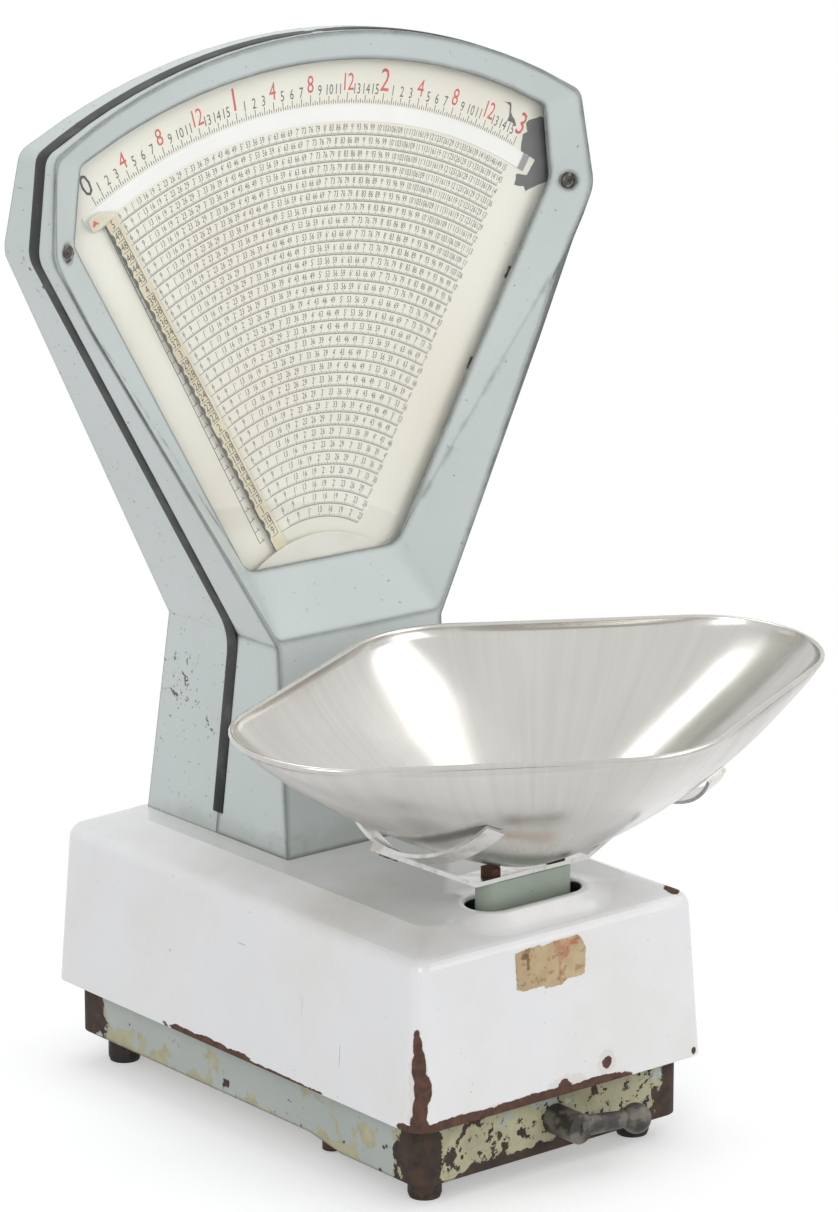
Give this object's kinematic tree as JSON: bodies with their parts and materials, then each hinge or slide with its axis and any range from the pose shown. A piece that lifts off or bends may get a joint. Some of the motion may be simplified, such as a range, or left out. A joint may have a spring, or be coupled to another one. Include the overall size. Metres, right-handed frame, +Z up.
{
  "type": "shop scale",
  "caption": "Counter scale with a fan-shaped weighing dial on a column, an enamelled case and a lift-off pan on a sprung post, with a linked lever, pendulum and pointer inside.",
  "frame": {"origin": "on the counter, below the middle of the whole scale with its pan", "axes": "+Z up; the dial, the pan and the locking lever face -Y; +X is to the right of someone who reads the dial"},
  "size_m": [0.468, 0.5254, 0.7388],
  "materials": {
    "sage_paint": "satin sage green paint, worn to metal at the edges",
    "base_paint": "flaking sage green paint over cast iron",
    "post_paint": "satin sage green paint",
    "white_enamel": "glossy white vitreous enamel, chipped, with rust",
    "dark_iron": "dark worn iron",
    "handle_iron": "black paint worn to grey metal",
    "seal_rubber": "matt black rubber",
    "worn_steel": "dull zinc plated steel",
    "window_glass": "clear sheet glass",
    "dial_enamel": "aged cream printed sheet",
    "band_white": "white strip",
    "plate_white": "off-white plate, bare",
    "frame_iron": "grey-green painted castings",
    "lever_iron": "painted castings",
    "hard_steel": "hardened ground steel",
    "bearing_brass": "dull brass",
    "pan_metal": "polished metal with fine scratches",
    "strap_metal": "polished steel strip",
    "rusty_steel": "brown rusted steel",
    "bob_lead": "grey cast weight",
    "pointer_strip": "cream painted strip",
    "rear_pointer_black": "black painted strip"
  },
  "bodies": {
    "stand": {"base_casting": "base_paint", "feet": "dark_iron", "transit_stop": "dark_iron", "enamel_cover": "white_enamel", "cover_screws": "worn_steel", "column_screws": "worn_steel", "rear_housing": "sage_paint", "front_housing": "sage_paint", "housing_seal": "seal_rubber", "bezel_screws": "worn_steel", "cup_washers": "worn_steel", "dial_window": "window_glass", "window_clips": "worn_steel", "dial_plate": "dial_enamel", "scale_band": "band_white", "name_plate": "plate_white", "dial_screws": "worn_steel", "rear_dial": "dial_enamel", "rear_window": "window_glass", "head_frame": "frame_iron", "frame_bolts": "worn_steel", "spindle_bridge": "frame_iron", "bridge_pillars": "worn_steel", "spindle_bearings": "bearing_brass", "fulcrum_stands": "frame_iron", "fulcrum_bearings": "hard_steel", "stay_bracket": "frame_iron", "dashpot_cylinder": "bearing_brass", "dashpot_cap": "bearing_brass", "lock_bush": "bearing_brass"},
    "platform": {"platform_post": "post_paint", "cradle_strip": "strap_metal", "cradle_straps": "strap_metal", "cradle_bolts": "rusty_steel", "strap_rivets": "worn_steel", "platform_spider": "lever_iron", "load_bearings": "hard_steel", "spider_pin": "hard_steel"},
    "pan_body": {"pan": "pan_metal"},
    "lever": {"main_lever": "lever_iron", "fulcrum_knives": "hard_steel", "load_knives": "hard_steel", "nose_knife": "hard_steel", "dashpot_pin": "hard_steel"},
    "stay": {"stay_link": "hard_steel"},
    "plunger": {"dashpot_plunger": "hard_steel"},
    "pendulum": {"pendulum_arm": "lever_iron", "pendulum_bob": "bob_lead", "pointer_spindle": "hard_steel", "pointer": "pointer_strip", "rear_pointer": "rear_pointer_black"},
    "rod": {"connecting_rod": "hard_steel"},
    "lock": {"lock_shaft": "hard_steel", "lock_handle": "handle_iron"}
  },
  "joints": [
    {"name": "platform_travel", "type": "slide", "parent": "stand", "child": "platform", "axis": [0, 0, -1], "range_m": [0, 0.006], "stiffness_N_per_m": 2220, "springref_m": -0.02},
    {"name": "pan_lift", "type": "slide", "parent": "platform", "child": "pan_body", "axis": [0, 0, 1], "range_m": [0, 0.15]},
    {"name": "lever_turn", "type": "hinge", "parent": "stand", "child": "lever", "pos_m": [0, -0.11282, 0.1], "axis": [-1, 0, 0], "range_deg": [0, 6.88]},
    {"name": "stay_turn", "type": "hinge", "parent": "stand", "child": "stay", "pos_m": [-0.0205, -0.11282, 0.047], "axis": [-1, 0, 0], "range_deg": [0, 6.88]},
    {"name": "plunger_travel", "type": "slide", "parent": "stand", "child": "plunger", "axis": [0, 0, -1], "range_m": [0, 0.0252]},
    {"name": "pendulum_turn", "type": "hinge", "parent": "stand", "child": "pendulum", "pos_m": [0, 0.15718, 0.327], "axis": [0, 1, 0], "range_deg": [0, 59.6]},
    {"name": "rod_turn", "type": "hinge", "parent": "pendulum", "child": "rod", "pos_m": [0.02829, 0.15718, 0.3432], "axis": [0, 1, 0], "range_deg": [-59.6, 0]},
    {"name": "lock_turn", "type": "hinge", "parent": "stand", "child": "lock", "pos_m": [0, -0.14282, 0.0395], "axis": [0, -1, 0], "range_deg": [0, 90]}
  ],
  "couplings": [
    {"joint": "lever_turn", "follows": "platform_travel", "rad_per_m": 20},
    {"joint": "stay_turn", "follows": "platform_travel", "rad_per_m": 20},
    {"joint": "plunger_travel", "follows": "platform_travel", "ratio": 4.2},
    {"joint": "pendulum_turn", "follows": "platform_travel", "rad_per_m": 173.3},
    {"joint": "rod_turn", "follows": "platform_travel", "rad_per_m": -173.3}
  ]
}
